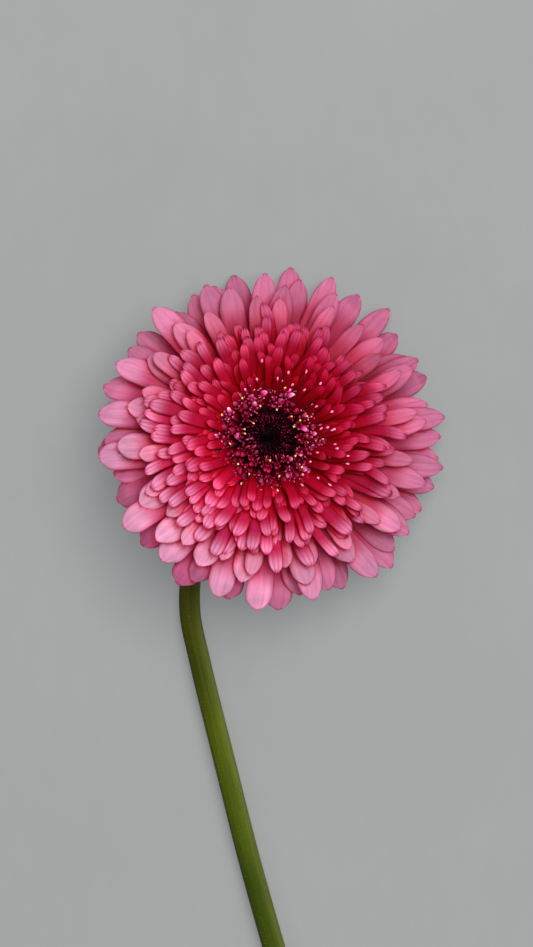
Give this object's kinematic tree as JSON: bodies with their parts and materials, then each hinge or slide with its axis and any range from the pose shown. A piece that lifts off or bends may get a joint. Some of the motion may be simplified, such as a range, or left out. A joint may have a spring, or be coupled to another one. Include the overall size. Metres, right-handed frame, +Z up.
{
  "type": "cut gerbera",
  "caption": "Cut gerbera lying down: a double pink bloom with a crest of short florets round a dark disc, on a bare curved green scape.",
  "frame": {"origin": "on the surface that the flower lies on, under the middle of the whole flower", "axes": "+Z up from the surface; +Y from the cut foot of the scape towards the bloom; +X to the right seen from above"},
  "size_m": [0.1046, 0.3399, 0.0494],
  "materials": {
    "scape": "living green stalk skin, finely hairy and ribbed, half matt",
    "involucre": "green hairy bracts, matt",
    "ray_petals": "rose-pink petal, soft velvet sheen, a little light shows through",
    "crest_petals": "crimson to rose-pink petal, soft velvet sheen, a little light shows through",
    "disc_florets": "purple-pink curled lips on dark maroon tubes, half gloss",
    "disc_buds": "maroon to black closed buds, half gloss"
  },
  "bodies": {
    "root": {"scape": "scape", "involucre": "involucre", "ray_florets": "ray_petals", "crest_florets": "crest_petals", "disc_florets": "disc_florets", "disc_buds": "disc_buds"}
  },
  "joints": []
}
